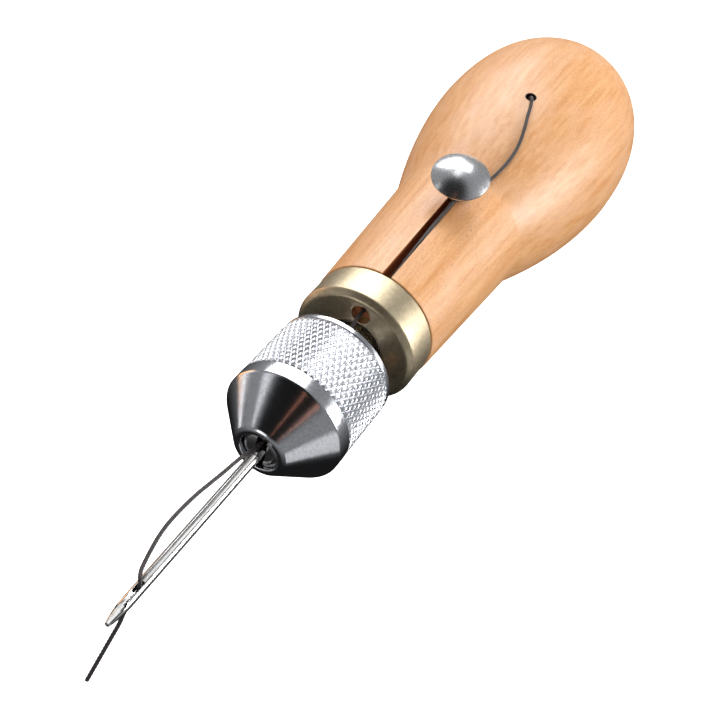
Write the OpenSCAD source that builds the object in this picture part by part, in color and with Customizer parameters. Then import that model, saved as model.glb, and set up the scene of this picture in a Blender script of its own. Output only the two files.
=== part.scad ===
// Hand sewing awl: wooden handle with a bobbin inside, brass ferrule, knurled chuck and eyed needle.
// X runs along the tool: the needle points to -X and the handle lies on +X. The groove is up (+Z).
// The origin is on the centre line, where the handle's shoulder meets the ferrule. Sizes are in mm.

/* [Handle] */
// Length of the wooden handle behind the ferrule
handle_length = 91.2; // [80:0.1:115]
// Radius of the neck where it meets the ferrule
neck_radius = 11; // [10.95:0.05:12]
// Radius of the neck where it runs into the bulb
neck_end_radius = 12.75; // [12:0.05:14]
// Length of the straight neck
neck_length = 31; // [27:0.5:36]
// Largest radius of the bulb
bulb_radius = 19.3; // [16:0.1:24]
// Distance from the ferrule to the thickest place of the bulb
bulb_station = 61.8; // [55:0.1:70]
// Length of the wooden spigot inside the ferrule
spigot_length = 5.6; // [4:0.1:7]
// Radius of the wooden spigot inside the ferrule
spigot_radius = 9.9; // [9:0.1:10]

/* [Bores in the handle] */
// Clearance of the bobbin chamber around the flanges
chamber_clearance = 0.3; // [0.2:0.05:1]
// Clearance of the bobbin chamber behind the spindle
chamber_end = 3.1; // [1:0.1:6]
// Radius of the hole where the thread leaves the bulb
exit_hole_radius = 1; // [0.6:0.05:1.5]
// Distance from the ferrule to the thread's exit hole
exit_station = 51.6; // [46:0.1:56]

/* [Groove] */
// Width of the thread groove along the neck
groove_width = 1.7; // [1.7:0.1:2.4]
// Height of the groove's floor above the centre line
groove_floor = 7.2; // [6.2:0.1:7.2]
// Distance from the ferrule to the end of the groove
groove_end = 25.5; // [20:0.5:26]
// Radius of the cutter that leaves the groove's run-out
groove_cutter = 8; // [5:0.5:14]

/* [Neck bush] */
// Outer radius of the threaded bush in the neck
bush_radius = 6; // [5.4:0.1:6.1]
// Length of the bush behind the ferrule's shoulder
bush_reach = 12; // [9:0.5:16]

/* [Ferrule] */
// Outer radius of the ferrule
ferrule_radius = 10.8; // [10.4:0.1:10.95]
// Thickness of the ferrule's end face
ferrule_face = 1.3; // [0.8:0.1:2]
// Radius where the ferrule's bevel starts on its face
bevel_radius = 10; // [9.2:0.1:10.3]
// Radius of the stem's hole in the ferrule's face
ferrule_hole = 4.9; // [4.7:0.1:5.6]
// Radius of the thread's hole in the ferrule's face
thread_hole = 1.7; // [1:0.1:1.9]
// Height of the thread's hole above the centre line
thread_hole_height = 7.35; // [7:0.05:7.6]

/* [Tension post] */
// Distance from the ferrule to the post
post_station = 24.4; // [23:0.1:26]
// Radius of the post's shank in the wood
shank_radius = 1.1; // [0.8:0.1:1.1]
// Radius of the post between the wood and the button
post_radius = 1.25; // [1.15:0.05:1.3]
// Radius of the domed button
button_radius = 5; // [4.2:0.1:6]
// Height of the button's rim above the wood
button_lift = 4.8; // [3:0.1:8]
// Height of the button's dome above its rim
button_dome = 1.9; // [1.2:0.1:2.6]
// Lean of the post towards the needle, in degrees
post_lean = 14; // [0:1:16]

/* [Chuck nut] */
// Radius over the knurl
nut_radius = 10.1; // [9.5:0.1:10.5]
// Radius of the nut's nose face
nose_radius = 4.4; // [4:0.1:5.5]
// Bore radius at the nose
nose_bore = 3.3; // [3.3:0.05:3.8]
// Length of the nut's cone
cone_length = 6.4; // [5:0.1:9]
// Length of the plain band in front of the knurl
band_length = 2.8; // [2:0.1:4]
// Length of the knurl
knurl_length = 11.6; // [9:0.1:13]
// Length of the plain band behind the knurl
rear_band = 1.1; // [0.6:0.1:2]
// Space between the nut and the ferrule's face
nut_gap = 5.5; // [3:0.1:8]

/* [Chuck stem] */
// Radius of the stem's thread in the nut
stem_radius = 6; // [5.8:0.1:7.2]
// Radius of the bare neck between the nut and the ferrule
stem_neck = 3.9; // [3.2:0.1:4.2]
// Radius of the stem's thread in the bush
base_radius = 4.55; // [4.5:0.05:5.2]
// Width of the thread's keyway along the stem
keyway_width = 1.5; // [1.2:0.1:1.8]
// Height of the keyway's floor above the centre line
keyway_floor = 4.8; // [4.4:0.1:4.85]
// Radial clearance of the screw threads and of the bobbin on its spindle
running_clearance = 0.05; // [0.02:0.01:0.1]
// Clearance of the needle to each jaw
jaw_clearance = 0.025; // [0.01:0.005:0.05]

/* [Needle] */
// Length of the needle in front of the nose
needle_reach = 35; // [30:0.5:45]
// Radius of the needle
needle_radius = 0.875; // [0.7:0.005:0.88]
// Length of the needle's point
point_length = 3.4; // [2:0.1:5]
// Length of the eye
eye_length = 2.3; // [1.6:0.1:3]
// Width of the eye and of the needle's thread groove
eye_width = 0.76; // [0.7:0.02:0.9]
// Distance from the tip to the middle of the eye
eye_station = 6.6; // [5.5:0.1:8]

/* [Bobbin] */
// Radius of the bobbin's spindle
spindle_radius = 1.5; // [1:0.1:1.6]
// Distance from the ferrule to the bobbin's front end
bobbin_front = 41.3; // [38:0.1:44]
// Length of the bobbin over its flanges
bobbin_length = 20.6; // [16:0.2:22]
// Radius of the bobbin's flanges
flange_radius = 4.4; // [3.6:0.1:4.5]
// Radius of the wound thread
wound_radius = 4.2; // [2.6:0.1:4.3]

/* [Hidden] */
thread_radius = 0.32;
ferrule_front = -spigot_length - ferrule_face;
nut_rear = ferrule_front - nut_gap;
nose_x = nut_rear - cone_length - band_length - knurl_length - rear_band;
tip_x = nose_x - needle_reach;
eye_x = tip_x + eye_station;
post_height = neck_radius + (neck_end_radius - neck_radius) * post_station / neck_length - 0.04;
nut_bore = stem_radius + running_clearance;
bush_bore = base_radius + running_clearance;
slot_width = 2 * (needle_radius + jaw_clearance);
stem_front = nose_x + 0.5;
jaw_back = nose_x + 8.3;
jaw_nose = nose_bore - 0.1;
jaw_base = 5.5;
base_front = -5.2;
base_back = 9;
core_radius = 2.2;
core_bore = spindle_radius + running_clearance;
flange_width = 0.8;
bobbin_back = bobbin_front + bobbin_length;
spindle_end = bobbin_back + 3;
chamber_radius = flange_radius + chamber_clearance;
chamber_depth = spindle_end + chamber_end;
bobbin_play = 0.3;

// a round solid from a list of [distance along X, radius] pairs
module turned(profile) {
  rotate([0, 90, 0])
    rotate_extrude($fn = 96)
      polygon([for (p = profile) [p[1], p[0]]]);
}

// a plain rod along X
module rod(from, to, r) {
  translate([from, 0, 0]) rotate([0, 90, 0]) cylinder(r = r, h = to - from, $fn = 96);
}

// the leaning frame of the tension post, with its zero on the wood
module at_post() {
  translate([post_station, 0, post_height]) rotate([0, -post_lean, 0]) children();
}

function bulb(x) = x <= bulb_station
  ? neck_end_radius + (bulb_radius - neck_end_radius)
    * (1 - pow((bulb_station - x) / (bulb_station - neck_length), 1.75))
  : bulb_radius * sqrt(max(0, 1 - pow((x - bulb_station) / (handle_length - bulb_station), 2.5)));

// stations along the bulb, closer together towards the butt
front_steps = 11;
back_steps = 12;
bulb_profile = concat(
  [for (i = [1 : front_steps])
    let (x = neck_length + (bulb_station - neck_length) * i / front_steps) [x, bulb(x)]],
  [for (i = [1 : back_steps - 1])
    let (x = bulb_station + (handle_length - bulb_station) * sin(90 * i / back_steps))
    [x, bulb(x)]]);

module handle() {
  color([0.85, 0.56, 0.33])
  difference() {
    turned(concat(
      [[-spigot_length, 0], [-spigot_length, spigot_radius], [0, spigot_radius],
       [0, neck_radius], [neck_length, neck_end_radius]],
      bulb_profile,
      [[handle_length, 0]]));
    // bush seat and bobbin chamber with a drilled end
    rod(-spigot_length - 1, bush_reach, bush_radius);
    turned([[bush_reach - 1, 0], [bush_reach - 1, chamber_radius], [chamber_depth, chamber_radius],
      [chamber_depth + 2.6, 0]]);
    // exit hole for the thread
    translate([exit_station, 0, 0]) cylinder(r = exit_hole_radius, h = 30, $fn = 48);
    // thread groove with the cutter's run-out
    translate([-spigot_length - 1, -groove_width / 2, groove_floor])
      cube([groove_end - groove_cutter + spigot_length + 1, groove_width, 20]);
    translate([groove_end - groove_cutter, 0, groove_floor + groove_cutter])
      rotate([90, 0, 0]) cylinder(r = groove_cutter, h = groove_width, center = true, $fn = 96);
    // post hole
    at_post() translate([0, 0, -6.3]) cylinder(r = shank_radius, h = 12, $fn = 48);
  }
}

module neck_bush() {
  color([0.72, 0.6, 0.32])
  difference() {
    rod(-spigot_length, bush_reach, bush_radius);
    rod(-spigot_length - 1, bush_reach + 1, bush_bore);
  }
}

module ferrule() {
  color([0.8, 0.74, 0.55])
  difference() {
    turned([[ferrule_front, 0], [ferrule_front, bevel_radius],
      [ferrule_front + 0.9, ferrule_radius], [0, ferrule_radius], [0, 0]]);
    rod(-spigot_length, 1, spigot_radius);
    turned([[ferrule_front - 1, 0], [ferrule_front - 1, ferrule_hole + 1.5],
      [ferrule_front + 0.5, ferrule_hole], [0, ferrule_hole], [0, 0]]);
    translate([ferrule_front - 1, 0, thread_hole_height])
      rotate([0, 90, 0]) cylinder(r = thread_hole, h = ferrule_face + 2, $fn = 48);
  }
}

module tension_post() {
  sphere_radius = (button_radius * button_radius + button_dome * button_dome) / (2 * button_dome);
  color([0.75, 0.76, 0.78])
  at_post() {
    translate([0, 0, -6.1]) cylinder(r = shank_radius, h = button_lift + 5.6, $fn = 48);
    difference() {
      cylinder(r = post_radius, h = button_lift, $fn = 48);
      // the shoulder sits on the curved wood
      rotate([0, post_lean, 0]) translate([-post_station, 0, -post_height]) rod(10, 35, post_height + 0.06);
    }
    translate([0, 0, button_lift - 0.5])
      rotate_extrude($fn = 96)
        polygon([[0, 0], [button_radius - 0.8, 0], [button_radius, 0.3], [button_radius, 0.5], [0, 0.5]]);
    intersection() {
      translate([0, 0, button_lift + button_dome - sphere_radius]) sphere(r = sphere_radius, $fn = 96);
      translate([0, 0, button_lift - 0.1]) cylinder(r = button_radius, h = 5, $fn = 96);
    }
  }
}

module chuck_stem() {
  color([0.55, 0.56, 0.58])
  difference() {
    union() {
      // domed jaws, then the cone that the nut presses on, the nut thread and its run-out
      turned([[stem_front, 0], [stem_front, 2.1], [stem_front + 0.3, jaw_nose - 0.4],
        [stem_front + 0.8, jaw_nose], [nose_x + 1.3, jaw_nose], [jaw_back, jaw_base],
        [jaw_back, stem_radius - 0.4],
        [jaw_back + 0.4, stem_radius], [nut_rear - 0.9, stem_radius],
        [nut_rear - 0.5, stem_radius - 0.4], [nut_rear - 0.5, stem_neck], [base_front, stem_neck],
        [base_front, base_radius - 0.4], [base_front + 0.4, base_radius], [base_back, base_radius],
        [base_back, 0]]);
    }
    // slot between the jaws, in line with the groove
    translate([nose_x - 1, -slot_width / 2, -8]) cube([13.3, slot_width, 16]);
    // keyway for the thread
    translate([nose_x + 7, -keyway_width / 2, keyway_floor])
      cube([nut_rear - nose_x - 6, keyway_width, 5]);
    // seat of the bobbin spindle
    rod(base_back - 5, base_back + 1, spindle_radius);
  }
}

module bobbin_spindle() {
  color([0.7, 0.71, 0.73])
  rod(base_back - 5, spindle_end, spindle_radius);
}

module spindle_collar() {
  color([0.7, 0.71, 0.73])
  difference() {
    rod(bobbin_front - bobbin_play - 1.5, bobbin_front - bobbin_play, 2.6);
    rod(bobbin_front - 3, bobbin_front + 1, spindle_radius);
  }
}

module spindle_nut() {
  color([0.7, 0.71, 0.73])
  difference() {
    rod(bobbin_back + bobbin_play, spindle_end - 0.5, 2.9);
    rod(bobbin_back - 1, bobbin_back + 4, spindle_radius);
  }
}

module bobbin_core() {
  color([0.75, 0.75, 0.77])
  difference() {
    rod(bobbin_front, bobbin_back, core_radius);
    rod(bobbin_front - 1, bobbin_back + 1, core_bore);
  }
}

module flange(from) {
  color([0.75, 0.75, 0.77])
  difference() {
    rod(from, from + flange_width, flange_radius);
    rod(from - 1, from + flange_width + 1, core_radius);
  }
}

module front_flange() flange(bobbin_front);

module rear_flange() flange(bobbin_back - flange_width);

module wound_thread() {
  color([0.16, 0.13, 0.12])
  difference() {
    rod(bobbin_front + flange_width, bobbin_back - flange_width, wound_radius);
    rod(bobbin_front - 1, bobbin_back + 1, core_radius);
  }
}

module chuck_nut() {
  band_x = nose_x + cone_length;
  color([0.8, 0.81, 0.83])
  difference() {
    turned([[nose_x, 0], [nose_x, nose_radius - 0.2], [nose_x + 0.2, nose_radius],
      [band_x, nut_radius - 0.15], [band_x + 0.3, nut_radius],
      [nut_rear - rear_band, nut_radius], [nut_rear - rear_band + 0.1, nut_radius - 0.2],
      [nut_rear - 0.3, nut_radius - 0.2],
      [nut_rear, nut_radius - 0.5], [nut_rear, 0]]);
    turned([[nose_x - 1, 0], [nose_x - 1, nose_bore], [nose_x + 1.3, nose_bore],
      [jaw_back - 0.1, jaw_base + 0.07], [jaw_back - 0.1, nut_bore], [nut_rear - 0.5, nut_bore],
      [nut_rear + 0.1, nut_bore + 0.6], [nut_rear + 1, nut_bore + 0.6], [nut_rear + 1, 0]]);
  }
}

module needle() {
  color([0.82, 0.83, 0.85])
  difference() {
    turned([[tip_x, 0], [tip_x + 0.15, 0.3], [tip_x + point_length, needle_radius],
      [nose_x + 12, needle_radius], [nose_x + 12.2, needle_radius - 0.2], [nose_x + 12.2, 0]]);
    // blunt chisel point
    for (s = [-1, 1])
      translate([tip_x, 0, s * 0.2]) rotate([0, s * -11, 0]) translate([-1, -2, s > 0 ? 0 : -2])
        cube([5, 4, 2]);
    // the eye, right through from top to bottom
    translate([eye_x - (eye_length - eye_width) / 2, 0, -2]) cylinder(r = eye_width / 2, h = 4, $fn = 32);
    translate([eye_x + (eye_length - eye_width) / 2, 0, -2]) cylinder(r = eye_width / 2, h = 4, $fn = 32);
    translate([eye_x - (eye_length - eye_width) / 2, -eye_width / 2, -2])
      cube([eye_length - eye_width, eye_width, 4]);
    // long thread groove on the upper side
    translate([eye_x - 1.9, -eye_width / 2, 0.45]) cube([nose_x - 1 - eye_x + 1.9, eye_width, 2]);
    // short groove under the eye, for the tail
    translate([eye_x - 2.2, -eye_width / 2, -2.6]) cube([2.4, eye_width, 2]);
  }
}

// thread swept along points: eight sides, with the neighbouring points giving the end faces
function unit(v) = v / norm(v);
function along(q, i) = unit(q[i + 1] - q[i - 1]);
function side(q, i) = unit([0, 1, 0] - along(q, i) * along(q, i)[1]);
function ring(q, i) = [for (k = [0 : 7])
  q[i] + thread_radius * (cos(45 * k) * side(q, i) + sin(45 * k) * cross(along(q, i), side(q, i)))];

module cord(before, points, after) {
  q = concat([before], points, [after]);
  n = len(points);
  color([0.16, 0.13, 0.12])
  polyhedron(
    points = [for (i = [1 : n]) for (p = ring(q, i)) p],
    faces = concat(
      [[for (k = [0 : 7]) k]],
      [for (i = [0 : n - 2]) for (k = [0 : 7])
        [8 * i + k, 8 * i + 8 + k, 8 * i + 8 + (k + 1) % 8, 8 * i + (k + 1) % 8]],
      [[for (k = [7 : -1 : 0]) 8 * (n - 1) + k]]),
    convexity = 6);
}

// from the wound thread up through the exit hole
feed_points = [[51.6, 0, 4.45], [51.5, 0, 8], [51.4, 0, 12], [51.3, 0, 15.5], [51.25, 0, 17.6]];
// over the bulb, past the post, along the groove and through the ferrule
outside_points = [[51.25, 0, 17.6], [51.2, -0.1, 18.35], [50.8, -0.35, 18.8], [50.2, -0.7, 18.75],
  [48.5, -1.29, 18.2], [46.8, -1.76, 17.8], [45, -2.33, 17.3], [43.2, -2.86, 16.8],
  [41.5, -3.3, 16.25], [39.7, -3.6, 15.65], [38, -3.74, 15.1], [36.2, -3.74, 14.55],
  [34.5, -3.56, 14], [32.8, -3.27, 13.45], [31.2, -2.95, 13], [29.6, -2.75, 12.85],
  [28, -2.5, 12.82], [26.6, -2.2, 12.8], [25.4, -1.95, 12.78], [24.3, -1.8, 12.75],
  [23.4, -1.5, 12.74], [22.6, -0.9, 12.68], [21.8, -0.5, 12.45], [20.6, -0.48, 12.25],
  [18.5, -0.48, 12.1], [16, -0.48, 12], [13, -0.48, 11.65],
  [9, -0.48, 11], [5, -0.48, 10.2], [2, -0.48, 9.55], [-0.5, -0.46, 9], [-3, -0.35, 8.35],
  [-5, -0.15, 7.95], [-6.9, 0, 7.7]];
// from the ferrule into the keyway, down between the jaws and out at the nose
chuck_points = [[-6.9, 0, 7.7], [-8.3, 0, 7.3], [-9.8, 0, 6.5], [-11.2, 0, 5.75], [-12.6, 0, 5.3],
  [-14.2, 0, 5.18], [-18, 0, 5.16], [-22, 0, 5.16], [-24.5, 0, 4.9], [-26.5, 0, 4.2], [-28.5, 0, 3.2],
  [-30.5, 0, 2.2], [-32.4, 0.1, 1.5], [-34.3, 0.35, 1.26]];
// the slack run beside the needle, then over into the eye
loop_points = [[-34.3, 0.35, 1.26], [-36, 0.85, 1.1], [-37.8, 1.25, 1], [-40.9, 1.6, 1.1],
  [-43.9, 1.95, 1.3], [-46.8, 2.25, 1.55], [-49.9, 2.42, 1.68], [-53, 2.44, 1.72],
  [-55.5, 2.22, 1.6], [-57.6, 1.85, 1.45], [-59.4, 1.45, 1.3], [-60.8, 1.05, 1.25],
  [-61.7, 0.55, 1.3], [-62.2, 0.15, 1.15], [-62.5, 0, 0.7], [-62.6, 0, 0]];
// out below the eye and away as a free end
tail_points = [[-62.6, 0, 0], [-62.75, 0, -0.6], [-63.2, 0, -1.05], [-63.9, 0, -1.3],
  [-64.7, 0.05, -1.55], [-65.4, 0.05, -2.1], [-66, 0, -3], [-66.7, 0, -3.9], [-67.9, 0, -4.95],
  [-70.2, 0, -7], [-72.8, 0, -9.3]];

module thread_feed() cord([51.65, 0, 3], feed_points, outside_points[1]);

module thread_outside() cord(feed_points[3], outside_points, chuck_points[1]);

module thread_chuck() cord(outside_points[30], chuck_points, loop_points[1]);

module thread_loop() cord(chuck_points[12], loop_points, tail_points[1]);

module thread_tail() cord(loop_points[14], tail_points, [-74, 0, -10.4]);

handle();
neck_bush();
ferrule();
tension_post();
chuck_stem();
bobbin_spindle();
spindle_collar();
spindle_nut();
bobbin_core();
front_flange();
rear_flange();
wound_thread();
chuck_nut();
needle();
thread_feed();
thread_outside();
thread_chuck();
thread_loop();
thread_tail();
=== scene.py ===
import math

import bpy
from mathutils import Matrix, Vector


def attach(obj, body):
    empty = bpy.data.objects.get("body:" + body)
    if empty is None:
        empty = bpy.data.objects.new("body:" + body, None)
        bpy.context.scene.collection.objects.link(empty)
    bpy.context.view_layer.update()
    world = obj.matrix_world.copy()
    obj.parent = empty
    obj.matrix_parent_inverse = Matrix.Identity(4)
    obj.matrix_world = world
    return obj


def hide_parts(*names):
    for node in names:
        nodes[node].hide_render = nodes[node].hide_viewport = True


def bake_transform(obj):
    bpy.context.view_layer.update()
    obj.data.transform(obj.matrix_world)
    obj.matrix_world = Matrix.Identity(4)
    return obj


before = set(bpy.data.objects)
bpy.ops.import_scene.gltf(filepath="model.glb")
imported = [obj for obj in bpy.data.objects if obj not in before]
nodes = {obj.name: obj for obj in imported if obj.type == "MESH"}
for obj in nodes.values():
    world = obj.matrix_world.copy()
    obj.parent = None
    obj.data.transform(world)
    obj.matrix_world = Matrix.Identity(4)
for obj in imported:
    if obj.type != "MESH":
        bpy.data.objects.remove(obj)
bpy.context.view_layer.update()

MM = 0.001

# ---------------------------------------------------------------- camera
# A short portrait lens above and in front of the needle, looking down along the tool.
camera_place = Vector((-132.64, -43.35, 136.99)) * MM
look_right = Vector((0.49268, -0.84849, 0.19323)).normalized()
look_ahead = Vector((0.65552, 0.21583, -0.72368)).normalized()
look_up = look_right.cross(look_ahead).normalized()

camera_data = bpy.data.cameras.new("camera")
camera_data.lens = 59.43
camera_data.sensor_width = 36.0
camera_data.clip_start = 0.01
camera = bpy.data.objects.new("camera", camera_data)
bpy.context.scene.collection.objects.link(camera)
turn_matrix = Matrix((look_right, look_up, -look_ahead)).transposed().to_4x4()
camera.matrix_world = Matrix.Translation(camera_place) @ turn_matrix
bpy.context.scene.camera = camera
bpy.context.scene.view_settings.view_transform = "Standard"

# ---------------------------------------------------------------- sewing thread
# Dark waxed thread of three plies twisted together. It comes off the bobbin through the exit hole,
# passes the tension post, runs in the groove and the ferrule's hole into the chuck, leaves the nose
# beside the needle and goes down through the eye to a short free end.
thread_radius = 0.32
ply_lay = 1.5
ply_depth = 0.34
points_round = 15
ring_step = 0.16
end_share = 0.72

running_route = [
    (51.6, 0, 4.45), (51.5, 0, 8), (51.4, 0, 12), (51.3, 0, 15.5), (51.25, 0, 17.6),
    (51.2, -0.1, 18.35), (50.8, -0.35, 18.8), (50.2, -0.7, 18.75), (48.5, -1.29, 18.2),
    (46.8, -1.76, 17.8), (45, -2.33, 17.3), (43.2, -2.86, 16.8), (41.5, -3.3, 16.25),
    (39.7, -3.6, 15.65), (38, -3.74, 15.1), (36.2, -3.74, 14.55), (34.5, -3.56, 14),
    (32.8, -3.27, 13.45), (31.2, -2.95, 13), (29.6, -2.75, 12.85), (28, -2.5, 12.82),
    (26.6, -2.2, 12.8), (25.4, -1.95, 12.78), (24.3, -1.8, 12.75), (23.4, -1.5, 12.74),
    (22.6, -0.9, 12.68), (21.8, -0.5, 12.45), (20.6, -0.48, 12.25), (18.5, -0.48, 12.1),
    (16, -0.48, 12), (13, -0.48, 11.65), (9, -0.48, 11), (5, -0.48, 10.2), (2, -0.48, 9.55),
    (-0.5, -0.46, 9), (-3, -0.35, 8.35), (-5, -0.15, 7.95), (-6.9, 0, 7.7), (-8.3, 0, 7.3),
    (-9.8, 0, 6.5), (-11.2, 0, 5.75), (-12.6, 0, 5.3), (-14.2, 0, 5.18), (-18, 0, 5.16),
    (-22, 0, 5.16), (-24.5, 0, 4.9), (-26.5, 0, 4.2), (-28.5, 0, 3.2), (-30.5, 0, 2.2),
    (-32.4, 0.1, 1.5), (-34.3, 0.35, 1.26),
]
needle_route = [
    (-34.3, 0.35, 1.26), (-36, 0.85, 1.1), (-37.8, 1.25, 1), (-40.9, 1.6, 1.1),
    (-43.9, 1.95, 1.3), (-46.8, 2.25, 1.55), (-49.9, 2.42, 1.68), (-53, 2.44, 1.72),
    (-55.5, 2.22, 1.6), (-57.6, 1.85, 1.45), (-59.4, 1.45, 1.3), (-60.8, 1.05, 1.25),
    (-61.7, 0.55, 1.3), (-62.2, 0.15, 1.15), (-62.5, 0, 0.7), (-62.6, 0, 0),
    (-62.75, 0, -0.6), (-63.2, 0, -1.05), (-63.9, 0, -1.3), (-64.7, 0.05, -1.55),
    (-65.4, 0.05, -2.1), (-66, 0, -3), (-66.7, 0, -3.9), (-67.9, 0, -4.95), (-70.2, 0, -7),
    (-72.8, 0, -9.3),
]


def smooth_route(points, step):
    """An even line of points in millimetres, a step apart, on one smooth curve through the given ones."""
    p = [Vector(q) for q in points]
    p = [2 * p[0] - p[1]] + p + [2 * p[-1] - p[-2]]
    fine = []
    for a, b, c, d in zip(p, p[1:], p[2:], p[3:]):
        for k in range(24):
            t = k / 24
            fine.append(0.5 * (2 * b + (c - a) * t + (2 * a - 5 * b + 4 * c - d) * t * t
                               + (3 * b - a - 3 * c + d) * t ** 3))
    fine.append(p[-2])
    total = sum((b - a).length for a, b in zip(fine, fine[1:]))
    count = max(2, round(total / step))
    line, walked, i = [fine[0]], 0.0, 0
    for k in range(1, count):
        want = total * k / count
        while walked + (fine[i + 1] - fine[i]).length < want:
            walked += (fine[i + 1] - fine[i]).length
            i += 1
        line.append(fine[i].lerp(fine[i + 1], (want - walked) / (fine[i + 1] - fine[i]).length))
    return line + [fine[-1]]


def twist_thread(name, line):
    """A closed three-ply thread along a line in millimetres, with its plies wound round each other."""
    verts, faces, along = [], [], 0.0
    side = Vector((0, 1, 0))
    n = points_round
    for i, p in enumerate(line):
        ahead = (line[min(i + 1, len(line) - 1)] - line[max(i - 1, 0)]).normalized()
        side = (side - ahead * side.dot(ahead)).normalized()
        over = ahead.cross(side)
        if i:
            along += (p - line[i - 1]).length
        end = min(i, len(line) - 1 - i)
        r0 = thread_radius * (end_share if end == 0 else 1.0)
        for k in range(n):
            a = 2 * math.pi * k / n
            lobe = abs(math.cos(1.5 * (a - 2 * math.pi * along / ply_lay)))
            r = r0 * (1 - ply_depth + ply_depth * lobe ** 0.6)
            verts.append((p + (side * math.cos(a) + over * math.sin(a)) * r) * MM)
    for i in range(len(line) - 1):
        for k in range(n):
            faces.append((i * n + k, i * n + (k + 1) % n, (i + 1) * n + (k + 1) % n, (i + 1) * n + k))
    faces.append(tuple(range(n - 1, -1, -1)))
    faces.append(tuple((len(line) - 1) * n + k for k in range(n)))
    mesh = bpy.data.meshes.new(name)
    mesh.from_pydata(verts, [], faces)
    mesh.polygons.foreach_set("use_smooth", [True] * len(mesh.polygons))
    mesh.update()
    piece = bpy.data.objects.new(name, mesh)
    bpy.context.scene.collection.objects.link(piece)
    return piece


def new_finish(name, colour, metallic, roughness, **sockets):
    """A named material with one shader; what is the same all over goes straight on its sockets."""
    finish = bpy.data.materials.new(name)
    finish.use_nodes = True
    tree = finish.node_tree
    shader = tree.nodes["Principled BSDF"]
    shader.inputs["Base Color"].default_value = (*colour, 1)
    shader.inputs["Metallic"].default_value = metallic
    shader.inputs["Roughness"].default_value = roughness
    for socket, value in sockets.items():
        shader.inputs[socket.replace("_", " ")].default_value = value
    return finish, tree, shader


def pattern(tree, kind, stretch, **settings):
    """A texture node on the piece's own coordinates, in repeats per metre along X, Y and Z."""
    place = tree.nodes.new("ShaderNodeTexCoord")
    scale = tree.nodes.new("ShaderNodeMapping")
    scale.inputs["Scale"].default_value = stretch
    texture = tree.nodes.new(kind)
    for key, value in settings.items():
        if hasattr(texture, key):
            setattr(texture, key, value)
        else:
            texture.inputs[key.replace("_", " ").title()].default_value = value
    tree.links.new(place.outputs["Object"], scale.inputs["Vector"])
    tree.links.new(scale.outputs["Vector"], texture.inputs["Vector"])
    return texture


def shades(tree, value, stops):
    """A colour ramp: stops are (place, colour) pairs, or (place, grey) pairs."""
    ramp = tree.nodes.new("ShaderNodeValToRGB")
    while len(ramp.color_ramp.elements) < len(stops):
        ramp.color_ramp.elements.new(0.5)
    for element, (place, colour) in zip(ramp.color_ramp.elements, stops):
        element.position = place
        rgb = colour if isinstance(colour, tuple) else (colour, colour, colour)
        element.color = (*rgb, 1)
    tree.links.new(value, ramp.inputs["Fac"])
    return ramp.outputs["Color"]


def blend_colours(tree, mode, amount, first, second):
    """Mixes two colours or outputs; amount may be a number or an output."""
    mix = tree.nodes.new("ShaderNodeMix")
    mix.data_type = "RGBA"
    mix.blend_type = mode
    for socket, value in ((mix.inputs[0], amount), (mix.inputs[6], first), (mix.inputs[7], second)):
        if isinstance(value, bpy.types.NodeSocket):
            tree.links.new(value, socket)
        else:
            socket.default_value = value if isinstance(value, float) else (*value, 1)
    return mix.outputs[2]


def reckon(tree, operation, first, second=0.0, third=0.0):
    """A math node on numbers or outputs."""
    node = tree.nodes.new("ShaderNodeMath")
    node.operation = operation
    for socket, value in zip(node.inputs, (first, second, third)):
        if isinstance(value, bpy.types.NodeSocket):
            tree.links.new(value, socket)
        else:
            socket.default_value = value
    return node.outputs[0]


def dress(piece, finish):
    """Gives a piece one material and no other."""
    piece.data.materials.clear()
    piece.data.materials.append(finish)


def emboss(tree, shader, height, strength, distance):
    """Fine relief in the surface."""
    bump = tree.nodes.new("ShaderNodeBump")
    bump.inputs["Strength"].default_value = strength
    bump.inputs["Distance"].default_value = distance
    tree.links.new(height, bump.inputs["Height"])
    tree.links.new(bump.outputs["Normal"], shader.inputs["Normal"])


waxed_thread, tree, shader = new_finish("waxed_thread", (0.04, 0.034, 0.034), 0.0, 0.5,
                                        Sheen_Weight=0.1, Sheen_Roughness=0.5)
fibres = pattern(tree, "ShaderNodeTexNoise", (5200, 5200, 5200), detail=3.0, roughness=0.6)
patches = pattern(tree, "ShaderNodeTexNoise", (420, 420, 420), detail=2.0)
fibre_colour = shades(tree, fibres.outputs["Fac"],
                      [(0.3, (0.014, 0.011, 0.011)), (0.55, (0.04, 0.033, 0.032)),
                       (0.78, (0.13, 0.107, 0.1))])
patch_colour = shades(tree, patches.outputs["Fac"], [(0.35, (0.75, 0.75, 0.8)), (0.7, (1.15, 1.05, 1.0))])
tree.links.new(blend_colours(tree, "MULTIPLY", 1.0, fibre_colour, patch_colour),
               shader.inputs["Base Color"])
tree.links.new(shades(tree, patches.outputs["Fac"], [(0.3, 0.36), (0.7, 0.62)]),
               shader.inputs["Roughness"])
emboss(tree, shader, fibres.outputs["Fac"], 0.5, 0.00004)

running_line = smooth_route(running_route, ring_step)
running_thread = twist_thread("running_thread", running_line)
dress(running_thread, waxed_thread)
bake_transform(running_thread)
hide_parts("thread_feed", "thread_outside", "thread_chuck")

needle_line = smooth_route(needle_route, ring_step)
needle_thread = twist_thread("needle_thread", needle_line)
dress(needle_thread, waxed_thread)
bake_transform(needle_thread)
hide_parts("thread_loop", "thread_tail")

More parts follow.
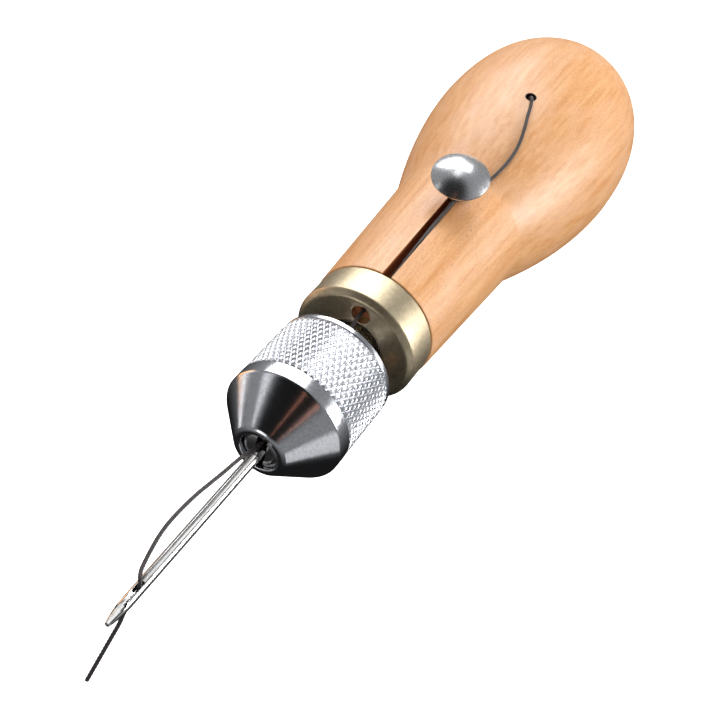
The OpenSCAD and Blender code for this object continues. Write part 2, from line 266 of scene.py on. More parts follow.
# ---------------------------------------------------------------- wooden handle
# One piece of beech turned on a lathe: a slim neck that swells into a round bulb for the palm.
# It is bored from the front for the bush and the bobbin, slotted along the top of the neck for the
# thread, sanded at its edges and finished with a satin lacquer.
handle_length = 91.2
neck_radius = 11.0
neck_end_radius = 12.75
neck_length = 31.0
bulb_radius = 19.3
bulb_station = 61.8
spigot_length = 5.6
spigot_radius = 9.88
groove_width = 1.7
groove_floor = 7.2
groove_end = 25.5
groove_cutter = 8.0
bush_radius = 6.0
bush_reach = 12.0
chamber_radius = 4.7
chamber_depth = 68.0
exit_station = 51.6
exit_hole_radius = 1.0


def bulb(x):
    """Radius of the bulb at a distance from the shoulder."""
    if x <= bulb_station:
        part = (bulb_station - x) / (bulb_station - neck_length)
        return neck_end_radius + (bulb_radius - neck_end_radius) * (1 - part ** 1.75)
    part = (x - bulb_station) / (handle_length - bulb_station)
    return bulb_radius * math.sqrt(max(0.0, 1 - part ** 2.5))


def eased(outline, radius):
    """The outline with the corners between its ends rounded."""
    out = [outline[0]]
    for a, b, c in zip(outline, outline[1:], outline[2:]):
        a, b, c = Vector(a), Vector(b), Vector(c)
        r = min(radius, 0.45 * (a - b).length, 0.45 * (c - b).length)
        p, q = b + (a - b).normalized() * r, b + (c - b).normalized() * r
        for t in (0.0, 0.25, 0.5, 0.75, 1.0):
            s = p.lerp(b, t).lerp(b.lerp(q, t), t)
            out.append((s.x, s.y))
    return out + [outline[-1]]


def turn_on_lathe(name, outline, steps=128, smooth=38):
    """A round piece about X from an outline of (distance along X, radius) in millimetres."""
    bpy.ops.object.select_all(action="DESELECT")
    bpy.ops.mesh.primitive_plane_add(size=MM, location=(0, 0, 0))
    piece = bpy.context.active_object
    piece.name = piece.data.name = name
    bpy.ops.object.mode_set(mode="EDIT")
    bpy.ops.mesh.select_mode(type="VERT")
    bpy.ops.mesh.select_all(action="SELECT")
    bpy.ops.mesh.merge(type="CENTER")
    x0, r0 = outline[0]
    bpy.ops.transform.translate(value=(x0 * MM, 0, r0 * MM))
    for x, r in outline[1:]:
        bpy.ops.mesh.extrude_region_move(
            TRANSFORM_OT_translate={"value": ((x - x0) * MM, 0, (r - r0) * MM)})
        x0, r0 = x, r
    bpy.ops.mesh.select_all(action="SELECT")
    bpy.ops.mesh.spin(steps=steps, angle=2 * math.pi, center=(0, 0, 0), axis=(1, 0, 0))
    bpy.ops.mesh.select_all(action="SELECT")
    bpy.ops.mesh.remove_doubles(threshold=0.000002)
    bpy.ops.mesh.normals_make_consistent(inside=False)
    bpy.ops.object.mode_set(mode="OBJECT")
    bpy.ops.object.transform_apply(location=True, rotation=True, scale=True)
    bpy.ops.object.shade_smooth_by_angle(angle=math.radians(smooth))
    return piece


def drill(name, radius, low, high, place=Matrix.Identity(4), sides=48):
    """A cutter for a round hole along Z, in millimetres."""
    bpy.ops.object.select_all(action="DESELECT")
    bpy.ops.mesh.primitive_cylinder_add(vertices=sides, radius=radius * MM, depth=(high - low) * MM,
                                        location=(0, 0, (low + high) / 2 * MM))
    cutter = bpy.context.active_object
    cutter.name = name
    bpy.ops.object.transform_apply(location=True, rotation=True, scale=True)
    cutter.data.transform(place)
    return cutter


def saw(name, low, high):
    """A square-edged cutter between two corners, in millimetres."""
    bpy.ops.object.select_all(action="DESELECT")
    middle = (Vector(low) + Vector(high)) / 2 * MM
    bpy.ops.mesh.primitive_cube_add(size=1, location=middle)
    cutter = bpy.context.active_object
    cutter.name = name
    cutter.scale = (Vector(high) - Vector(low)) * MM
    bpy.ops.object.transform_apply(location=True, rotation=True, scale=True)
    return cutter


def cut(piece, *cutters, keep="DIFFERENCE"):
    """Takes each cutter out of the piece, or with UNION adds it on."""
    for cutter in cutters:
        modifier = piece.modifiers.new("cut", "BOOLEAN")
        modifier.operation = keep
        modifier.solver = "EXACT"
        modifier.object = cutter
        bpy.context.view_layer.objects.active = piece
        bpy.ops.object.modifier_apply(modifier=modifier.name)
        bpy.data.objects.remove(cutter)


def soften(piece, width, angle=40):
    """Takes the sharp edges off, as sanding or tumbling does."""
    modifier = piece.modifiers.new("soften", "BEVEL")
    modifier.width = width * MM
    modifier.segments = 2
    modifier.limit_method = "ANGLE"
    modifier.angle_limit = math.radians(angle)
    modifier.use_clamp_overlap = True
    bpy.context.view_layer.objects.active = piece
    piece.select_set(True)
    bpy.ops.object.modifier_apply(modifier=modifier.name)
    bpy.ops.object.shade_smooth_by_angle(angle=math.radians(38))


neck_steps = 10
bulb_steps = 30
butt_steps = 26
handle_outline = [(-spigot_length, 0), (-spigot_length, spigot_radius), (0, spigot_radius),
                  (0, neck_radius - 0.1), (0.1, neck_radius)]
handle_outline += [(x, neck_radius + (neck_end_radius - neck_radius) * x / neck_length)
                   for x in [neck_length * k / neck_steps for k in range(1, neck_steps)]]
# the neck runs into the bulb over a short hollow
handle_outline += [(neck_length - 0.8, neck_end_radius - 0.05), (neck_length - 0.3, neck_end_radius + 0.01),
                   (neck_length + 0.2, neck_end_radius + 0.11)]
handle_outline += [(x, bulb(x)) for x in
                   [neck_length + (bulb_station - neck_length) * k / bulb_steps
                    for k in range(1, bulb_steps + 1)]]
handle_outline += [(x, bulb(x)) for x in
                   [bulb_station + (handle_length - bulb_station) * math.sin(math.pi / 2 * k / butt_steps)
                    for k in range(1, butt_steps)]]
handle_outline += [(handle_length, 0)]
wooden_handle = turn_on_lathe("wooden_handle", handle_outline, steps=144)

post_station = 24.4
post_seat = 0.04
post_lean = math.radians(14)
shank_radius = 1.1
shank_depth = 6.1
post_height = neck_radius + (neck_end_radius - neck_radius) * post_station / neck_length - post_seat
at_post = (Matrix.Translation(Vector((post_station, 0, post_height)) * MM)
           @ Matrix.Rotation(-post_lean, 4, "Y"))
along_y = Matrix.Rotation(math.pi / 2, 4, "X")

bobbin_bore = turn_on_lathe("bobbin_bore", [
    (-7, 0), (-7, bush_radius), (bush_reach, bush_radius), (bush_reach, chamber_radius),
    (chamber_depth, chamber_radius), (chamber_depth + 2.6, 0)], steps=64)
exit_hole = drill("exit_hole", exit_hole_radius, 2, 25, Matrix.Translation((exit_station * MM, 0, 0)))
thread_groove = saw("thread_groove", (-7, -groove_width / 2, groove_floor),
                    (groove_end - groove_cutter, groove_width / 2, 20))
groove_run_out = drill("groove_run_out", groove_cutter, -groove_width / 2, groove_width / 2,
                       Matrix.Translation(Vector((groove_end - groove_cutter, 0,
                                                  groove_floor + groove_cutter)) * MM) @ along_y, 96)
post_hole = drill("post_hole", shank_radius, -shank_depth - 0.2, 5, at_post)
cut(thread_groove, groove_run_out, keep="UNION")
cut(wooden_handle, bobbin_bore, exit_hole, thread_groove, post_hole)
soften(wooden_handle, 0.14)

beech, tree, shader = new_finish("beech", (0.78, 0.43, 0.2), 0.0, 0.42,
                                 Coat_Weight=0.38, Coat_Roughness=0.38)
figure = pattern(tree, "ShaderNodeTexNoise", (9, 210, 210), detail=4.0, roughness=0.55, distortion=0.3)
fibre = pattern(tree, "ShaderNodeTexNoise", (70, 2300, 2300), detail=4.0, roughness=0.6)
fleck = pattern(tree, "ShaderNodeTexNoise", (260, 3900, 3900), detail=1.0, roughness=0.4)
blush = pattern(tree, "ShaderNodeTexNoise", (22, 60, 60), detail=2.0)
wood_colour = shades(tree, figure.outputs["Fac"],
                     [(0.3, (0.69, 0.3, 0.09)), (0.5, (0.78, 0.39, 0.155)), (0.72, (0.86, 0.48, 0.215))])
fibre_colour = shades(tree, fibre.outputs["Fac"], [(0.3, (0.92, 0.9, 0.87)), (0.7, (1.06, 1.06, 1.08))])
wood_colour = blend_colours(tree, "MULTIPLY", 1.0, wood_colour, fibre_colour)
blush_amount = shades(tree, blush.outputs["Fac"], [(0.45, 0.0), (0.7, 0.5)])
wood_colour = blend_colours(tree, "MIX", blush_amount, wood_colour, (0.83, 0.47, 0.26))
fleck_amount = shades(tree, fleck.outputs["Fac"], [(0.61, 0.0), (0.67, 0.72)])
wood_colour = blend_colours(tree, "MIX", fleck_amount, wood_colour, (0.33, 0.12, 0.05))
# inside the groove and the bores the wood is painted a darker red-brown: partly the bare wood the lacquer
# doesn't reach, partly painted shade of the recess
place = tree.nodes.new("ShaderNodeTexCoord")
parts = tree.nodes.new("ShaderNodeSeparateXYZ")
tree.links.new(place.outputs["Object"], parts.inputs["Vector"])
off_centre = reckon(tree, "SQRT", reckon(tree, "ADD", reckon(tree, "POWER", parts.outputs["Y"], 2.0),
                                         reckon(tree, "POWER", parts.outputs["Z"], 2.0)))
neck_slope = (neck_end_radius - neck_radius) / neck_length
surface = reckon(tree, "MULTIPLY_ADD", parts.outputs["X"], neck_slope, neck_radius * MM)
below = reckon(tree, "SUBTRACT", surface, off_centre)
bare_wood_and_shade = tree.nodes.new("ShaderNodeMapRange")
bare_wood_and_shade.inputs["From Min"].default_value = 0.00015
bare_wood_and_shade.inputs["From Max"].default_value = 0.0006
tree.links.new(below, bare_wood_and_shade.inputs["Value"])
wood_colour = blend_colours(tree, "MIX", bare_wood_and_shade.outputs["Result"], wood_colour, (0.42, 0.13, 0.035))
# painted shade: the wall and rim of the exit hole are painted near-black, standing in for the shade inside
# the hole
beside_x = reckon(tree, "POWER", reckon(tree, "SUBTRACT", parts.outputs["X"], exit_station * MM), 2.0)
beside_y = reckon(tree, "POWER", parts.outputs["Y"], 2.0)
from_hole = reckon(tree, "SQRT", reckon(tree, "ADD", beside_x, beside_y))
exit_hole_shade = tree.nodes.new("ShaderNodeMapRange")
exit_hole_shade.inputs["From Min"].default_value = (exit_hole_radius + 0.12) * MM
exit_hole_shade.inputs["From Max"].default_value = (exit_hole_radius + 0.02) * MM
tree.links.new(from_hole, exit_hole_shade.inputs["Value"])
wood_colour = blend_colours(tree, "MIX", exit_hole_shade.outputs["Result"], wood_colour, (0.03, 0.012, 0.006))
tree.links.new(wood_colour, shader.inputs["Base Color"])
tree.links.new(shades(tree, fibre.outputs["Fac"], [(0.3, 0.5), (0.7, 0.36)]), shader.inputs["Roughness"])
emboss(tree, shader, reckon(tree, "MULTIPLY_ADD", fleck_amount, -0.7, fibre.outputs["Fac"]),
       0.25, 0.00006)
dress(wooden_handle, beech)
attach(wooden_handle, "handle_body")
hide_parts("handle")

# ---------------------------------------------------------------- ferrule
# A pale brass cap pressed over the handle's spigot. It is turned and brushed round, with a bright
# bevel at its face, a chamfered hole for the stem and a round hole for the thread.
ferrule_front = -6.9
ferrule_radius = 10.8
ferrule_seat = spigot_radius + 0.02
ferrule_hole = 4.9
thread_hole_radius = 1.7
thread_hole_height = 7.35
ferrule_outline = eased([
    (ferrule_front + 0.5, ferrule_hole), (ferrule_front, ferrule_hole + 0.55), (ferrule_front, 9.7),
    (ferrule_front + 0.12, 9.98), (ferrule_front + 0.75, ferrule_radius - 0.12),
    (ferrule_front + 1.0, ferrule_radius), (-0.15, ferrule_radius), (0, ferrule_radius - 0.12),
    (0, ferrule_seat), (-spigot_length, ferrule_seat), (-spigot_length, ferrule_hole),
    (ferrule_front + 0.5, ferrule_hole)], 0.12)
brass_ferrule = turn_on_lathe("brass_ferrule", ferrule_outline, steps=160, smooth=30)
through_face = (Matrix.Translation((0, 0, thread_hole_height * MM))
                @ Matrix.Rotation(math.pi / 2, 4, "Y"))
cut(brass_ferrule, drill("thread_hole", thread_hole_radius, -8, -5, through_face))
soften(brass_ferrule, 0.1, angle=50)

pale_brass, tree, shader = new_finish("pale_brass", (0.74, 0.62, 0.42), 1.0, 0.3)
rings = pattern(tree, "ShaderNodeTexNoise", (9000, 60, 60), detail=3.0, roughness=0.7)
cloud = pattern(tree, "ShaderNodeTexNoise", (300, 300, 300), detail=3.0)
ring_colour = shades(tree, rings.outputs["Fac"], [(0.3, (0.56, 0.46, 0.31)), (0.7, (0.76, 0.66, 0.48))])
cloud_colour = shades(tree, cloud.outputs["Fac"], [(0.35, (0.86, 0.85, 0.8)), (0.65, (1.0, 1.0, 1.0))])
tree.links.new(blend_colours(tree, "MULTIPLY", 1.0, ring_colour, cloud_colour),
               shader.inputs["Base Color"])
tree.links.new(shades(tree, rings.outputs["Fac"], [(0.3, 0.5), (0.7, 0.34)]), shader.inputs["Roughness"])
emboss(tree, shader, rings.outputs["Fac"], 0.3, 0.00003)
dress(brass_ferrule, pale_brass)
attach(brass_ferrule, "handle_body")
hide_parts("ferrule")

# ---------------------------------------------------------------- tension post
# A steel post driven into the neck at the groove's end, leaning towards the needle. Its domed button,
# in satin chrome, has a rolled edge, and the thread passes under the button close beside the post.
post_radius = 1.25
button_lift = 4.8
button_radius = 5.0
button_dome = 1.9
dome_steps = 14
dome_outline = []
for k in range(dome_steps + 1):
    part = k / dome_steps
    height = button_lift + button_dome * (1 - part ** 2.15) * (1 - 0.06 * part)
    dome_outline.append((height, (button_radius - 0.08) * part))
post_outline = [(-shank_depth, 0), (-shank_depth, shank_radius - 0.38), (-5.6, shank_radius - 0.02),
                (-0.5, shank_radius - 0.02), (-0.4, post_radius), (button_lift - 1.1, post_radius),
                (button_lift - 0.7, post_radius + 0.4), (button_lift - 0.48, post_radius + 1.4),
                (button_lift - 0.5, button_radius - 0.5), (button_lift - 0.38, button_radius - 0.12),
                (button_lift - 0.2, button_radius), (button_lift - 0.05, button_radius - 0.02)]
post_outline += dome_outline[::-1]
tension_button = turn_on_lathe("tension_button", post_outline, steps=96)
tension_button.data.transform(at_post @ Matrix.Rotation(-math.pi / 2, 4, "Y"))

satin_chrome, tree, shader = new_finish("satin_chrome", (0.76, 0.77, 0.79), 1.0, 0.24)
scuffs = pattern(tree, "ShaderNodeTexNoise", (1500, 1500, 1500), detail=5.0, roughness=0.7)
tree.links.new(shades(tree, scuffs.outputs["Fac"], [(0.3, 0.2), (0.7, 0.31)]), shader.inputs["Roughness"])
tree.links.new(shades(tree, scuffs.outputs["Fac"], [(0.3, (0.68, 0.69, 0.71)), (0.7, (0.8, 0.81, 0.83))]),
               shader.inputs["Base Color"])
emboss(tree, shader, scuffs.outputs["Fac"], 0.12, 0.00002)
dress(tension_button, satin_chrome)
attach(tension_button, "handle_body")
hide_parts("tension_post")

# ---------------------------------------------------------------- chuck nut
# A nickel-plated steel nut screwed on the stem. Its polished cone squeezes the jaws on the needle,
# and its barrel has a diamond knurl between two plain bands.
nose_x = -34.3
cone_end = -27.9
knurl_front = -25.1
knurl_back = -13.5
nut_rear = -12.4
nut_radius = 10.1
knurl_rows = 6
knurl_round = 58
knurl_root = nut_radius - 0.3
nut_outline = eased([
    (nose_x + 1.3, 3.3), (nose_x + 0.15, 3.3), (nose_x, 3.45), (nose_x, 4.0), (nose_x + 0.1, 4.28),
    (nose_x + 0.32, 4.6),
    (cone_end, nut_radius - 0.16), (cone_end + 0.25, nut_radius), (knurl_front - 0.12, nut_radius),
    (knurl_front, nut_radius - 0.12), (knurl_front, knurl_root - 0.15), (knurl_back, knurl_root - 0.15),
    (knurl_back, nut_radius - 0.2), (knurl_back + 0.1, nut_radius - 0.12),
    (nut_rear - 0.25, nut_radius - 0.12), (nut_rear, nut_radius - 0.45), (nut_rear, 6.7),
    (nut_rear - 0.6, 6.06), (-26.1, 6.06), (-26.1, 5.58), (nose_x + 1.3, 3.3)], 0.1)
knurled_nut = turn_on_lathe("knurled_nut", nut_outline, steps=160, smooth=28)
knurl_outline = [(knurl_front, knurl_root - 0.3)]
knurl_outline += [(knurl_front + (knurl_back - knurl_front) * k / knurl_rows, knurl_root)
                  for k in range(knurl_rows + 1)]
knurl_outline += [(knurl_back, knurl_root - 0.3), (knurl_front, knurl_root - 0.3)]
knurl_band = turn_on_lathe("knurl_band", knurl_outline, steps=knurl_round)


def knurl(piece, x_front, x_back, root, spacing, thickness, height):
    """Cuts a diamond knurl: the band's squares are split on their diagonals, then each diamond is raised."""
    bpy.ops.object.select_all(action="DESELECT")
    piece.select_set(True)
    bpy.context.view_layer.objects.active = piece
    bpy.ops.object.mode_set(mode="EDIT")
    bpy.ops.mesh.select_mode(type="FACE")
    bpy.ops.mesh.select_all(action="DESELECT")
    bpy.ops.object.mode_set(mode="OBJECT")

    def in_band(co):
        return (x_front - 0.02) * MM <= co.x <= (x_back + 0.02) * MM and abs(
            math.hypot(co.y, co.z) - root * MM) < 0.05 * MM

    mesh = piece.data
    for face in mesh.polygons:
        face.select = all(in_band(mesh.vertices[v].co) for v in face.vertices)
    bpy.ops.object.mode_set(mode="EDIT")
    bpy.ops.mesh.select_mode(type="FACE")
    bpy.ops.mesh.poke()
    bpy.ops.object.mode_set(mode="OBJECT")
    corners = {v.index for v in mesh.vertices if in_band(v.co)
               and abs(((v.co.x / MM - x_front) / spacing) % 1.0 - 0.5) > 0.4}
    bpy.ops.object.mode_set(mode="EDIT")
    bpy.ops.mesh.select_mode(type="EDGE")
    bpy.ops.mesh.select_all(action="DESELECT")
    bpy.ops.object.mode_set(mode="OBJECT")
    for edge in mesh.edges:
        a, b = edge.vertices
        level_a, level_b = mesh.vertices[a].co.x / MM, mesh.vertices[b].co.x / MM
        border = abs(level_a - level_b) < 0.01 and min(abs(level_a - x_front), abs(level_a - x_back)) < 0.01
        edge.select = a in corners and b in corners and not border
    bpy.ops.object.mode_set(mode="EDIT")
    bpy.ops.mesh.dissolve_edges(use_verts=False)
    bpy.ops.object.mode_set(mode="OBJECT")
    for vertex in mesh.vertices:
        vertex.select = False
    for edge in mesh.edges:
        edge.select = False
    for face in mesh.polygons:
        face.select = all(abs(mesh.vertices[v].co.x / MM - (x_front + x_back) / 2)
                          <= (x_back - x_front) / 2 + 0.01 for v in face.vertices) and abs(
            math.hypot(face.center.y, face.center.z) - root * MM) < 0.08 * MM
    bpy.ops.object.mode_set(mode="EDIT")
    bpy.ops.mesh.select_mode(type="FACE")
    bpy.ops.mesh.inset(thickness=thickness * MM, depth=height * 0.78 * MM, use_individual=True,
                       use_even_offset=True)
    bpy.ops.mesh.inset(thickness=0.12 * MM, depth=height * 0.22 * MM, use_individual=True,
                       use_even_offset=True)
    bpy.ops.object.mode_set(mode="OBJECT")
    bpy.ops.object.shade_smooth_by_angle(angle=math.radians(28))


def join(main, *others):
    """Joins the other meshes into the first."""
    bpy.ops.object.select_all(action="DESELECT")
    for piece in (main, *others):
        piece.select_set(True)
    bpy.context.view_layer.objects.active = main
    bpy.ops.object.join()


row_spacing = (knurl_back - knurl_front) / knurl_rows
knurl(knurl_band, knurl_front, knurl_back, knurl_root, row_spacing, thickness=0.2, height=0.27)
join(knurled_nut, knurl_band)
bpy.ops.object.shade_smooth_by_angle(angle=math.radians(28))

nickel, tree, shader = new_finish("nickel", (0.66, 0.67, 0.7), 1.0, 0.16)
turning = pattern(tree, "ShaderNodeTexNoise", (7000, 30, 30), detail=2.0, roughness=0.6)
smears = pattern(tree, "ShaderNodeTexNoise", (500, 500, 500), detail=4.0)
place = tree.nodes.new("ShaderNodeTexCoord")
parts = tree.nodes.new("ShaderNodeSeparateXYZ")
tree.links.new(place.outputs["Object"], parts.inputs["Vector"])
from_knurl = reckon(tree, "ABSOLUTE", reckon(tree, "ADD", parts.outputs["X"],
                                             -(knurl_front + knurl_back) / 2 * MM))
on_knurl = reckon(tree, "LESS_THAN", from_knurl, (knurl_back - knurl_front) / 2 * MM)
turned = shades(tree, turning.outputs["Fac"], [(0.3, 0.22), (0.7, 0.13)])
tree.links.new(reckon(tree, "MULTIPLY_ADD", on_knurl, 0.16, turned), shader.inputs["Roughness"])
tree.links.new(shades(tree, smears.outputs["Fac"], [(0.35, (0.6, 0.61, 0.65)), (0.7, (0.72, 0.73, 0.76))]),
               shader.inputs["Base Color"])
emboss(tree, shader, turning.outputs["Fac"], 0.18, 0.00002)
dress(knurled_nut, nickel)
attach(knurled_nut, "nut_body")
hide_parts("chuck_nut")

# ---------------------------------------------------------------- chuck stem
# A steel stem, screwed into the neck's bush. Its nose is slotted into two jaws: the left one has a
# smooth domed end and the right one shows the turned ridges of its grip.
thread_pitch = 1.0
front_crest = 6.0
front_root = 5.55
rear_crest = 4.55
rear_root = 4.15
jaw_slot_half = 0.9
keyway_half = 0.75


def screw_thread(start, turns, crest, root):
    """The profile of a screw thread, one turn after another."""
    profile = []
    for turn in range(turns):
        x = start + turn * thread_pitch
        profile += [(x, crest), (x + 0.3 * thread_pitch, root), (x + 0.6 * thread_pitch, root)]
    return profile


stem_outline = eased([(-31.0, 0), (-31.0, 4.25), (-26.0, 5.5), (-25.9, 5.6), (-25.6, front_crest)], 0.1)
stem_outline += screw_thread(-25.2, 11, front_crest, front_root)
stem_outline += [(-13.6, front_crest), (-12.9, 5.6), (-12.9, 4.1), (-12.6, 3.9), (-5.4, 3.9), (-5.2, 4.1)]
stem_outline += screw_thread(-4.9, 13, rear_crest, rear_root)
stem_outline += [(8.6, 4.5), (9.0, 4.1), (9.0, 1.5), (4.0, 1.5), (4.0, 0)]
steel_stem = turn_on_lathe("steel_stem", stem_outline, steps=72, smooth=30)
left_outline = [(-31.2, 0), (-31.2, 3.9), (-33.0, 3.2), (-33.25, 3.14), (-33.5, 3.0), (-33.68, 2.75),
                (-33.8, 2.35), (-33.86, 1.8), (-33.88, 1.0), (-33.88, 0)]
right_outline = [(-31.2, 0), (-31.2, 3.9), (-32.3, 3.42)]
for k in range(3):
    x = -32.35 - 0.48 * k
    right_outline += [(x, 3.18), (x - 0.12, 3.2), (x - 0.3, 3.18), (x - 0.36, 2.9), (x - 0.42, 2.9)]
right_outline += [(-33.86, 2.7), (-33.9, 2.3), (-33.7, 2.1), (-33.7, 0)]


def jaw(name, outline, side):
    """One jaw: a turned nose split along the middle, leaving room for the needle and the thread."""
    piece = turn_on_lathe(name, outline[::-1], steps=64, smooth=30)
    bpy.ops.object.mode_set(mode="EDIT")
    bpy.ops.mesh.select_all(action="SELECT")
    bpy.ops.mesh.bisect(plane_co=(0, side * jaw_slot_half * MM, 0), plane_no=(0, side, 0), use_fill=True,
                        clear_inner=True)
    bpy.ops.mesh.select_all(action="SELECT")
    bpy.ops.mesh.normals_make_consistent(inside=False)
    bpy.ops.object.mode_set(mode="OBJECT")
    return piece


left_jaw = jaw("left_jaw", left_outline, 1)
right_jaw = jaw("right_jaw", right_outline, -1)
cut(steel_stem, saw("jaw_slot", (-36, -jaw_slot_half, -8), (-21, jaw_slot_half, 8)),
    saw("keyway", (-27.3, -keyway_half, 4.8), (-12.0, keyway_half, 9)))
soften(steel_stem, 0.08, angle=55)
join(steel_stem, left_jaw, right_jaw)
bpy.ops.object.shade_smooth_by_angle(angle=math.radians(30))

machined_steel, tree, shader = new_finish("machined_steel", (0.5, 0.5, 0.52), 1.0, 0.28)
turning = pattern(tree, "ShaderNodeTexNoise", (5000, 80, 80), detail=3.0)
stains = pattern(tree, "ShaderNodeTexNoise", (900, 900, 900), detail=4.0)
stain_colour = shades(tree, stains.outputs["Fac"],
                      [(0.3, (0.42, 0.38, 0.33)), (0.5, (0.62, 0.62, 0.64)), (0.75, (0.76, 0.76, 0.78))])
tree.links.new(stain_colour, shader.inputs["Base Color"])
tree.links.new(shades(tree, stains.outputs["Fac"], [(0.3, 0.38), (0.7, 0.2)]), shader.inputs["Roughness"])
emboss(tree, shader, turning.outputs["Fac"], 0.25, 0.00003)
dress(steel_stem, machined_steel)
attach(steel_stem, "stem_body")
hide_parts("chuck_stem")

# ---------------------------------------------------------------- needle
# A round steel awl needle with a blunt chisel point. The eye goes right through near the point, and
# a long groove on the upper side takes the thread while the needle is in the leather.
tip_x = -69.3
eye_x = -62.7
needle_radius = 0.875
tip_half = 0.24
tip_lean = math.radians(9)
groove_half = 0.33
needle_outline = [(tip_x, 0), (tip_x + 0.04, 0.2), (tip_x + 0.2, 0.36), (tip_x + 0.7, 0.5),
                  (tip_x + 1.5, 0.64), (tip_x + 2.4, 0.77), (tip_x + 3.2, 0.85), (tip_x + 4.0, 0.873),
                  (tip_x + 4.8, needle_radius), (-56, needle_radius), (-45, needle_radius),
                  (-34, needle_radius), (-22.5, needle_radius), (-22.2, 0.7), (-22.1, 0)]
steel_needle = turn_on_lathe("steel_needle", needle_outline, steps=48, smooth=35)
for side in (-1, 1):
    bpy.ops.object.mode_set(mode="EDIT")
    bpy.ops.mesh.select_all(action="SELECT")
    bpy.ops.mesh.bisect(plane_co=Vector((tip_x, 0, side * tip_half)) * MM,
                        plane_no=(-math.sin(tip_lean), 0, side * math.cos(tip_lean)), use_fill=True,
                        clear_outer=True)
    bpy.ops.object.mode_set(mode="OBJECT")
eye_half = 0.38
eye_reach = 0.77
eye_slot = saw("eye_slot", (eye_x - eye_reach, -eye_half, -2), (eye_x + eye_reach, eye_half, 2))
at_front = Matrix.Translation(((eye_x - eye_reach) * MM, 0, 0))
at_back = Matrix.Translation(((eye_x + eye_reach) * MM, 0, 0))
cut(eye_slot, drill("eye_front", eye_half, -2.01, 2.01, at_front, 32),
    drill("eye_back", eye_half, -2.02, 2.02, at_back, 32), keep="UNION")
long_groove = saw("long_groove", (eye_x - 1.2, -groove_half, 0.45), (nose_x - 0.9, groove_half, 2))
tail_groove = saw("tail_groove", (eye_x - 2.0, -groove_half, -2), (eye_x, groove_half, -0.6))
cut(steel_needle, eye_slot, long_groove, tail_groove)
soften(steel_needle, 0.05, angle=50)

needle_steel, tree, shader = new_finish("needle_steel", (0.7, 0.7, 0.72), 1.0, 0.17)
strokes = pattern(tree, "ShaderNodeTexNoise", (40, 3500, 3500), detail=2.0)
wear = pattern(tree, "ShaderNodeTexNoise", (120, 700, 700), detail=3.0)
tree.links.new(shades(tree, wear.outputs["Fac"],
                      [(0.3, (0.56, 0.52, 0.46)), (0.45, (0.72, 0.71, 0.7)), (0.75, (0.84, 0.84, 0.85))]),
               shader.inputs["Base Color"])
tree.links.new(shades(tree, strokes.outputs["Fac"], [(0.3, 0.26), (0.7, 0.12)]), shader.inputs["Roughness"])
emboss(tree, shader, strokes.outputs["Fac"], 0.08, 0.00001)
dress(steel_needle, needle_steel)
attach(steel_needle, "needle_body")
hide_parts("needle")

# ---------------------------------------------------------------- bobbin
# A small tinned bobbin runs loose on a spindle behind the stem, between a collar and an end nut.
# The dark thread is wound on it in close turns.
tinned_steel, tree, shader = new_finish("tinned_steel", (0.7, 0.7, 0.72), 1.0, 0.3)
swirl = pattern(tree, "ShaderNodeTexNoise", (4000, 200, 200), detail=3.0)
dulling = pattern(tree, "ShaderNodeTexNoise", (700, 700, 700), detail=4.0)
tree.links.new(shades(tree, dulling.outputs["Fac"], [(0.35, (0.52, 0.52, 0.54)), (0.7, (0.76, 0.76, 0.78))]),
               shader.inputs["Base Color"])
tree.links.new(shades(tree, swirl.outputs["Fac"], [(0.3, 0.4), (0.7, 0.24)]), shader.inputs["Roughness"])
emboss(tree, shader, swirl.outputs["Fac"], 0.25, 0.00003)
for name in ("bobbin_spindle", "spindle_collar", "spindle_nut", "bobbin_core", "front_flange",
             "rear_flange"):
    dress(nodes[name], tinned_steel)

winding_front = 42.15
winding_back = 61.05
winding_radius = 3.86
wound_count = 29
steps_round = 36
wound_start = winding_front + 0.33
wound_length = winding_back - winding_front - 0.66
winding_line = [Vector((wound_start + wound_length * k / (wound_count * steps_round),
                        winding_radius * math.cos(2 * math.pi * k / steps_round),
                        winding_radius * math.sin(2 * math.pi * k / steps_round)))
                for k in range(wound_count * steps_round + 1)]
wound_turns = twist_thread("wound_turns", winding_line)
sleeve = turn_on_lathe("sleeve", [(winding_front, 2.2), (winding_front, 3.8), (winding_back, 3.8),
                                  (winding_back, 2.2), (winding_front, 2.2)], steps=48)
join(wound_turns, sleeve)
dress(wound_turns, waxed_thread)
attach(wound_turns, "bobbin_body")
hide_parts("wound_thread")

# ---------------------------------------------------------------- neck bush
# A threaded brass bush pressed into the neck, which the stem screws into.
bush_brass, tree, shader = new_finish("bush_brass", (0.7, 0.55, 0.28), 1.0, 0.34)
turning = pattern(tree, "ShaderNodeTexNoise", (6000, 90, 90), detail=3.0)
tree.links.new(shades(tree, turning.outputs["Fac"], [(0.3, (0.5, 0.37, 0.16)), (0.7, (0.76, 0.6, 0.32))]),
               shader.inputs["Base Color"])
tree.links.new(shades(tree, turning.outputs["Fac"], [(0.3, 0.44), (0.7, 0.28)]), shader.inputs["Roughness"])
dress(nodes["neck_bush"], bush_brass)

# ---------------------------------------------------------------- floor and lights
# A plain pale floor well below the tool, and soft boxes above, behind and on both sides.
floor_level = -0.06
bpy.ops.object.select_all(action="DESELECT")
bpy.ops.mesh.primitive_plane_add(size=6, location=(0, 0, floor_level))
floor = bpy.context.active_object
floor.name = "floor"
bpy.ops.object.transform_apply(location=True, rotation=True, scale=True)
floor.visible_glossy = False
floor.visible_diffuse = False
pale_floor, tree, shader = new_finish("pale_floor", (0.9, 0.9, 0.9), 0.0, 0.9)
shader.inputs["Emission Color"].default_value = (1, 1, 1, 1)
shader.inputs["Emission Strength"].default_value = 1.0
dress(floor, pale_floor)

world = bpy.data.worlds.new("studio")
world.use_nodes = True
tree = world.node_tree
air = tree.nodes["Background"]
place = tree.nodes.new("ShaderNodeTexCoord")
parts = tree.nodes.new("ShaderNodeSeparateXYZ")
tree.links.new(place.outputs["Generated"], parts.inputs["Vector"])
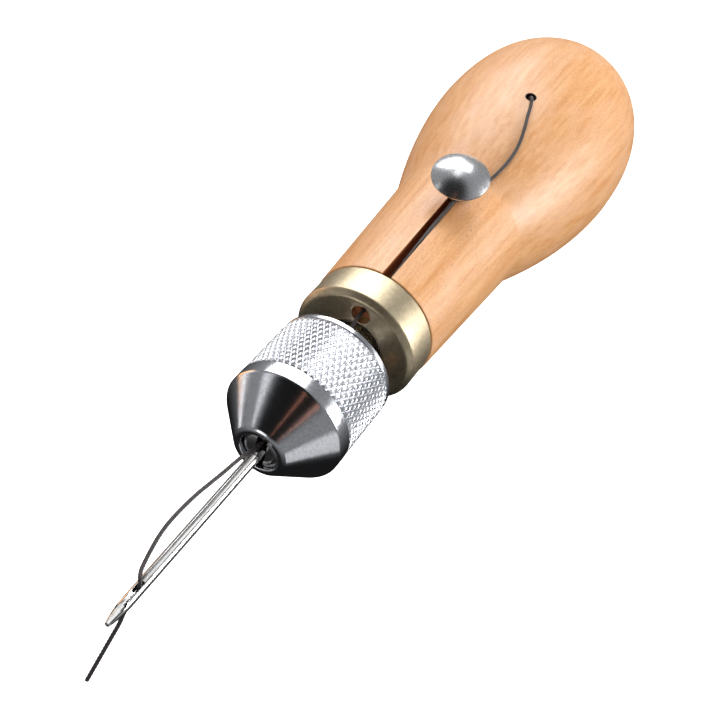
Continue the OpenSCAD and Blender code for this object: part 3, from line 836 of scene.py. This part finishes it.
# darker under the tool, and dark where the room behind the viewer would be
from_below = tree.nodes.new("ShaderNodeMapRange")
from_below.inputs["From Min"].default_value = -0.75
from_below.inputs["From Max"].default_value = 0.05
from_below.inputs["To Min"].default_value = 0.04
tree.links.new(parts.outputs["Z"], from_below.inputs["Value"])
toward_room = tree.nodes.new("ShaderNodeVectorMath")
toward_room.operation = "DOT_PRODUCT"
toward_room.inputs[1].default_value = Vector((-0.68, 0.05, 0.73)).normalized()
tree.links.new(place.outputs["Generated"], toward_room.inputs[0])
room = tree.nodes.new("ShaderNodeMapRange")
room.interpolation_type = "SMOOTHSTEP"
room.inputs["From Min"].default_value = 0.66
room.inputs["From Max"].default_value = 0.9
room.inputs["To Min"].default_value = 1.0
room.inputs["To Max"].default_value = 0.03
tree.links.new(toward_room.outputs["Value"], room.inputs["Value"])
glow = reckon(tree, "MULTIPLY", reckon(tree, "MULTIPLY", from_below.outputs["Result"],
                                       room.outputs["Result"]), 0.3)
seen = tree.nodes.new("ShaderNodeLightPath")
fill = reckon(tree, "MULTIPLY_ADD", seen.outputs["Is Diffuse Ray"], 0.32, glow)
tree.links.new(reckon(tree, "MAXIMUM", fill, seen.outputs["Is Camera Ray"]), air.inputs["Strength"])
air.inputs["Color"].default_value = (0.96, 0.98, 1, 1)
bpy.context.scene.world = world


box_distance = 0.6


def soft_box(name, direction, width, height, power, colour=(1, 1, 1)):
    """A rectangular soft box that faces the tool's middle, in metres and watts."""
    lamp = bpy.data.lights.new(name, "AREA")
    lamp.shape = "RECTANGLE"
    lamp.size = width
    lamp.size_y = height
    lamp.energy = power
    lamp.color = colour
    box = bpy.data.objects.new(name, lamp)
    bpy.context.scene.collection.objects.link(box)
    aim = Vector((0.01, 0, 0))
    box.location = aim + Vector(direction).normalized() * box_distance
    box.rotation_euler = (aim - box.location).to_track_quat("-Z", "Y").to_euler()
    box.visible_camera = False


soft_box("back_box", (0.60, 0.56, 0.55), 0.4, 0.36, 1.9)
soft_box("top_box", (0.585, 0.22, 0.775), 0.3, 0.3, 1.1)
soft_box("right_box", (0.38, -0.89, 0.27), 0.2, 0.28, 2.6)
soft_box("right_card", (0.70, -0.66, 0.26), 0.24, 0.24, 0.22)
soft_box("left_strip", (-0.22, 0.965, -0.14), 0.03, 0.4, 0.09)
soft_box("left_card", (-0.5, 0.73, 0.46), 0.1, 0.2, 0.05)
soft_box("front_card", (-0.92, 0.28, 0.12), 0.2, 0.14, 0.25)
soft_box("low_card", (-0.42, -0.84, -0.32), 0.24, 0.34, 0.17)
copper = (1.0, 0.42, 0.26)
soft_box("warm_side", (0.1, 0.98, -0.12), 0.3, 0.3, 0.5, (1.0, 0.5, 0.2))
soft_box("top_card", (0.13, 0.28, 0.95), 0.2, 0.2, 0.14)
soft_box("warm_card_left", (-0.71, -0.125, 0.69), 0.02, 0.1, 0.006, copper)
soft_box("warm_card_right", (-0.688, -0.48, 0.54), 0.03, 0.1, 0.01, copper)
